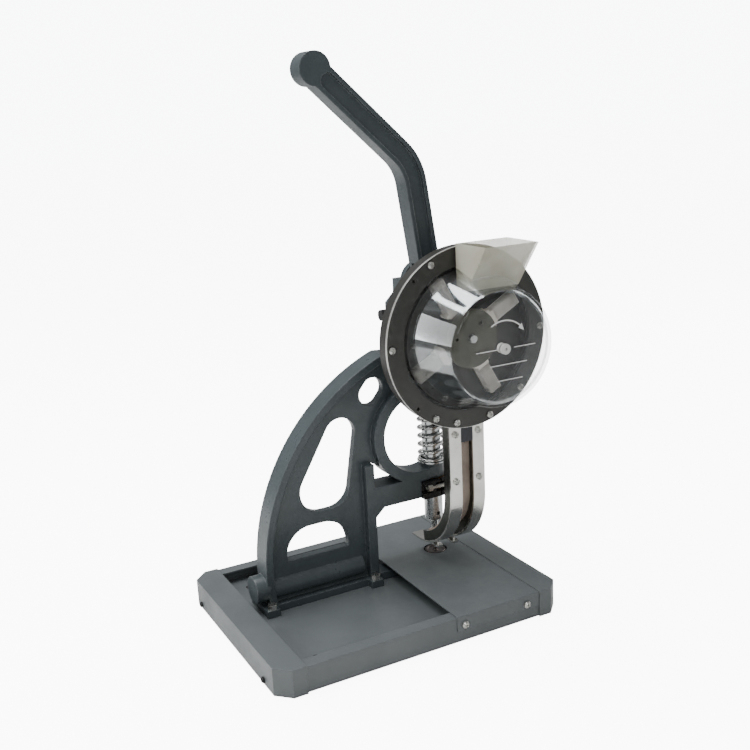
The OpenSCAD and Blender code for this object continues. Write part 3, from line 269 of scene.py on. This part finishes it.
# %% The clear sheet
dome_sheet, sheet_tree, sheet_shader, place = new_finish("clear_formed_sheet")
sheet_shader.inputs["Metallic"].default_value = 1.0
sheet_shader.inputs["Base Color"].default_value = paint_chip("#eef2f4")
rubbed = add(sheet_tree, "TexNoise", {"Vector": place, "Scale": 1 / 0.02, "Detail": 4.0}).outputs[0]
sheet_tree.links.new(ramp(sheet_tree, rubbed, 0.35, 0.7, 0.02, 0.05), sheet_shader.inputs["Roughness"])
mirror = add(sheet_tree, "Fresnel", {"IOR": PLASTIC_IOR}).outputs[0]
sheet_tree.links.new(ramp(sheet_tree, mirror, 0.04, 1.0, 0.012, 0.5), sheet_shader.inputs["Alpha"])

# %% [markdown]
# ## Finishes on the ready-made pieces
# Every measured piece names its finish in the record, so a table from that name to a
# material paints the whole press in one pass. Four pieces then get a finish of their own:
# the ring with its bare rim, the chute bars in a darker steel that is painted shade,
# the hardened die and the blackened screws of the end caps.

# %% Paint every measured piece
finish_of = {
    "base_paint": powder_coat, "cast_paint": cast_enamel, "drum_paint": drum_enamel,
    "hub_metal": hub_anodised, "black_steel": black_oxide, "zinc_steel": zinc_plate,
    "ground_steel": ground_steel, "spring_chrome": spring_wire, "bronze": bush_bronze,
    "strip_steel": strip_steel, "chute_board": chute_board, "gate_plastic": gate_plastic,
    "clear_plastic": dome_sheet, "milky_plastic": hopper_sheet, "knob_plastic": knob_plastic,
    "holder_plastic": holder_plastic, "bristle": bristle_nylon, "foot_rubber": foot_rubber,
}
for entry in frame["record"]["subparts"]:
    piece = frame["nodes"][entry["node"]]
    piece.data.materials.clear()
    piece.data.materials.append(finish_of[entry["material_slot"]])
frame["nodes"]["front_ring"].data.materials[0] = ring_enamel
# The chute bars take the darkened steel, which is painted shade on their side faces.
frame["nodes"]["chute_bars"].data.materials[0] = shaded_bar_steel
frame["nodes"]["lower_die"].data.materials[0] = tool_steel
frame["nodes"]["cap_screws"].data.materials[0] = black_oxide
print("painted", len(frame["nodes"]), "pieces")

# %% [markdown]
# ## Surfaces from numbers
# Every new piece is a grid of points: rings of the same number of points, one after the
# other. One function joins each ring to the next and closes both ends.

# %% The skin over a row of rings
def skin(name, rings, body, finish):
    """A closed mesh over rings, an array of strand x ring x point x XYZ, riding on a body."""
    strands, count, sides, _ = rings.shape
    i, j, k = np.meshgrid(np.arange(strands), np.arange(count - 1), np.arange(sides), indexing="ij")
    here = (i * count + j) * sides
    after = (k + 1) % sides
    walls = np.stack([here + k, here + after, here + sides + after, here + sides + k], -1).reshape(-1, 4)
    first = np.arange(strands)[:, None] * count * sides + np.arange(sides)
    ends = first[:, ::-1].tolist() + (first + (count - 1) * sides).tolist()
    mesh = bpy.data.meshes.new(name)
    mesh.from_pydata(rings.reshape(-1, 3).tolist(), [], walls.tolist() + ends)
    mesh.polygons.foreach_set("use_smooth", [True] * len(walls) + [False] * len(ends))
    mesh.materials.append(finish)
    made = bpy.data.objects.new(name, mesh)
    bpy.context.scene.collection.objects.link(made)
    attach(made, body)
    print(name, len(mesh.polygons), "faces")
    return made

# %% [markdown]
# ## The return spring
# The measured spring has few sides, so a finer one stands in for it: a 4 mm wire wound on
# the same eight turns, with its two end turns flat against the seat and the collar. The
# path is a helix, and the wire a circle carried along it.

# %% The coiled wire
def coil(low, high, wire, turns, steps=56, sides=18):
    """Angle 360 turns t; height rises evenly but for 0.75 flat turn at each end; wire round it."""
    centre = (low + high) / 2
    radius = (high[0] - low[0] - wire) / 2
    t = np.linspace(0, 1, turns * steps + 1)[:, None]
    round_wire = np.linspace(0, 2 * np.pi, sides, endpoint=False)[None, :]
    turned = 2 * np.pi * turns * t
    rise = np.clip((t * turns - 0.75) / (turns - 1.5), 0, 1)
    out = radius + wire / 2 * np.cos(round_wire)
    height = low[2] + wire / 2 + (high[2] - low[2] - wire) * rise + wire / 2 * np.sin(round_wire)
    return np.stack([centre[0] + out * np.cos(turned), centre[1] + out * np.sin(turned), height], -1)


SPRING_WIRE_WIDTH, SPRING_TURNS = 0.004, 8
spring_low, spring_high = np.array(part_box("return_spring"))
spring_path = coil(spring_low, spring_high, SPRING_WIRE_WIDTH, SPRING_TURNS)
spring = skin("coiled_return_spring", spring_path[None], "base", spring_wire)
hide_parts("return_spring")
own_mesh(spring)

# %% [markdown]
# ## Bristles
# Each brush is a strip of nylon strands, cut level and a little splayed by use. A real
# strand is 0.2 mm thick. Here they are 0.55 mm, so that a few hundred fill each brush.
# Each is a thin three-sided tube whose tip leans by its own amount.

# %% Strands on four brushes
STRAND_WIDTH = 0.00055


def strands(root, tip, half_width, y0, y1, across, along, rng):
    """Rows of tubes from radius root to tip; each leans outwards by its place and a random share."""
    u, v = np.meshgrid(np.linspace(-1, 1, across), np.linspace(-1, 1, along), indexing="ij")
    u, v = (np.stack([u, v]).reshape(2, -1) + rng.uniform(-0.03, 0.03, (2, across * along)))[:, :, None]
    s = np.linspace(0, 1, 5)[None, :]
    lean = s ** 2 * (0.06 * np.stack([u, v]) + rng.normal(0, 0.022, (2, across * along, 1)))
    x = root + (tip - root) * s * (1 + rng.uniform(-0.035, 0.0, u.shape))
    side = half_width * np.clip(0.92 * u + lean[0], -1.08, 1.08)
    depth = (y0 + y1) / 2 + (y1 - y0) / 2 * np.clip(0.92 * v + lean[1], -1.0, 1.0)
    centre = np.stack(np.broadcast_arrays(x, depth, side), -1)[:, :, None, :]
    angle = np.radians([90, 210, 330])
    thick = STRAND_WIDTH / 2 * np.stack([0 * angle, np.cos(angle), np.sin(angle)], -1)
    return centre + thick * (1 - 0.25 * s[0])[None, :, None, None]


def turn_about_y(points, degrees, centre):
    """Points turned about the Y axis through the centre."""
    c, d = np.cos(np.radians(degrees)), np.sin(np.radians(degrees))
    x, y, z = points[..., 0], points[..., 1], points[..., 2]
    return np.stack([centre[0] + c * x - d * z, y, centre[2] + d * x + c * z], -1)


BRUSH_ROOT, BRUSH_TIP, BRUSH_HALF_WIDTH = 0.0405, 0.078, 0.0075
ROWS_ACROSS, ROWS_ALONG = 24, 24
FIRST_BRUSH_DEGREES = 29
rng = np.random.default_rng(7)
drum_axis = (ring_low + ring_high) / 2
brush_low, brush_high = np.array(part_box("bristles"))
brushes = [turn_about_y(strands(BRUSH_ROOT, BRUSH_TIP, BRUSH_HALF_WIDTH, brush_low[1], brush_high[1],
                                ROWS_ACROSS, ROWS_ALONG, rng),
                        FIRST_BRUSH_DEGREES + 90 * i, drum_axis) for i in range(4)]
bristle_rows = skin("nylon_bristles", np.concatenate(brushes), "brushes", bristle_nylon)
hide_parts("bristles")

# %% [markdown]
# ## Marks on the dome
# White marks are screen-printed on the dome's flat front: three level lines, and a curved
# arrow for the way that the brushes turn. Each is an outline drawn 0.1 mm thick, just proud
# of the sheet, in place of lettering.

# %% Printed marks
def printed(outline, y):
    """Two rings of an X-Z outline, 0.1 mm apart along Y, as one strand."""
    outline = np.asarray(outline)
    flat = np.stack([outline[:, 0], np.full(len(outline), y), outline[:, 1]], -1)
    return np.stack([flat, flat - [0, 0.0001, 0]])[None]


def dash(x0, x1, z, thick=0.0011):
    """A bar with two half-round ends, from x0 to x1 at a height."""
    a = np.linspace(-np.pi / 2, np.pi / 2, 9)
    ends = [(x + way * thick / 2 * np.cos(a), z + way * thick / 2 * np.sin(a))
            for x, way in ((x1, 1), (x0, -1))]
    return np.concatenate([np.stack(e, -1) for e in ends])


def arrow(radius, start, stop, thick=0.0016, head=0.0065):
    """A band between two radii from start to stop degrees, then a three-point head."""
    a = np.radians(np.linspace(start, stop, 25))
    band = [np.stack([r * np.cos(a), r * np.sin(a)], -1) for r in (radius + thick / 2, radius - thick / 2)]
    tip_at = a[-1] - head / radius * 1.25
    tip = [[(radius + head / 2) * np.cos(a[-1]), (radius + head / 2) * np.sin(a[-1])],
           [radius * np.cos(tip_at), radius * np.sin(tip_at)],
           [(radius - head / 2) * np.cos(a[-1]), (radius - head / 2) * np.sin(a[-1])]]
    return np.concatenate([band[0], tip, band[1][::-1]])


print_white = moulded("white_screen_print", "#e9eae8", "#dcdddb", 0.55, grain=0.0008)
dome_low = np.array(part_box("dome_cover"))[0]
centre_xz = np.array([drum_axis[0], drum_axis[2]])
marks = {
    "high_level_left": dash(-0.036, -0.010, 0), "high_level_right": dash(0.013, 0.0405, 0),
    "middle_level": dash(-0.019, 0.029, -0.0175), "low_level": dash(-0.009, 0.023, -0.035),
    "turning_arrow": arrow(0.031, 122, 48),
}
for name, outline in marks.items():
    skin("print_" + name, printed(outline + centre_xz, dome_low[1]), "base", print_white)

# %% [markdown]
# ## Camera, floor and light
# The camera stands to the left and above. Four large soft lamps and a pale room give
# the even light of a product table.

# %% Camera
def look_frame(yaw, pitch, roll):
    """Right, up and back vectors of a camera turned by yaw, then pitch, then roll, in degrees."""
    y, p, r = np.radians([yaw, pitch, roll])
    ahead = np.array([np.sin(y) * np.cos(p), np.cos(y) * np.cos(p), -np.sin(p)])
    right = np.array([np.cos(y), -np.sin(y), 0])
    down = np.cross(ahead, right)
    right, down = np.cos(r) * right + np.sin(r) * down, np.cos(r) * down - np.sin(r) * right
    return right, -down, -ahead


camera = bpy.data.objects.new("camera", bpy.data.cameras.new("camera"))
bpy.context.scene.collection.objects.link(camera)
right, up, back = look_frame(27.47, 14.85, 2.93)
turn = Matrix(np.column_stack([right, up, back]).tolist()).to_4x4()
camera.matrix_world = Matrix.Translation((-0.49833, -0.99468, 0.58248)) @ turn
camera.data.lens = 48.43
camera.data.sensor_width = 36.0
bpy.context.scene.camera = camera

# %% Floor, room and lamps
FLOOR_GLOW = 9.0
ROOM_LIGHT, ROOM_SEEN = 0.35, 10.0


def flat_sheet(name, size, height):
    """A square of the given size, centred under the press at a height."""
    corners = np.array([[-1, -1], [1, -1], [1, 1], [-1, 1]]) * size / 2
    mesh = bpy.data.meshes.new(name)
    mesh.from_pydata([(x, y, height) for x, y in corners.tolist()], [], [(0, 1, 2, 3)])
    made = bpy.data.objects.new(name, mesh)
    bpy.context.scene.collection.objects.link(made)
    return made


floor = flat_sheet("floor", 30.0, -0.0002)
floor_paint, floor_tree, floor_shader, _ = new_finish("pale_floor")
floor_shader.inputs["Base Color"].default_value = paint_chip("#f2f2f1")
floor_shader.inputs["Roughness"].default_value = 0.8
floor_shader.inputs["Emission Color"].default_value = paint_chip("#ffffff")
seen = add(floor_tree, "LightPath").outputs["Is Camera Ray"]
floor_tree.links.new(ramp(floor_tree, seen, 0, 1, 0, FLOOR_GLOW), floor_shader.inputs["Emission Strength"])
floor.data.materials.append(floor_paint)

room = bpy.data.worlds.new("room")
room.use_nodes = True
room.node_tree.nodes["Background"].inputs[0].default_value = paint_chip("#f5f7f8")
seen = add(room.node_tree, "LightPath").outputs["Is Camera Ray"]
brightness = ramp(room.node_tree, seen, 0, 1, ROOM_LIGHT, ROOM_SEEN)
room.node_tree.links.new(brightness, room.node_tree.nodes["Background"].inputs[1])
bpy.context.scene.world = room


def soft_lamp(name, place, aim, size, power):
    """A square area lamp at a place, turned to face a point."""
    light = bpy.data.lights.new(name, "AREA")
    light.size, light.energy = size, power
    made = bpy.data.objects.new(name, light)
    made.matrix_world = Matrix.Translation(place) @ (
        (Vector(place) - Vector(aim)).to_track_quat("Z", "Y").to_matrix().to_4x4())
    bpy.context.scene.collection.objects.link(made)
    return made


soft_lamp("overhead", (-0.3, 0.2, 1.9), (0, 0, 0.2), 1.4, 44)
soft_lamp("left_window", (-1.8, 0.3, 0.9), (0, 0, 0.25), 1.2, 20)
soft_lamp("right_window", (1.9, 0.2, 0.9), (0, 0, 0.25), 1.2, 14)
soft_lamp("front_card", (-0.6, -2.0, 1.2), (0.1, 0, 0.25), 0.9, 8)
print("camera, floor and four lamps placed")
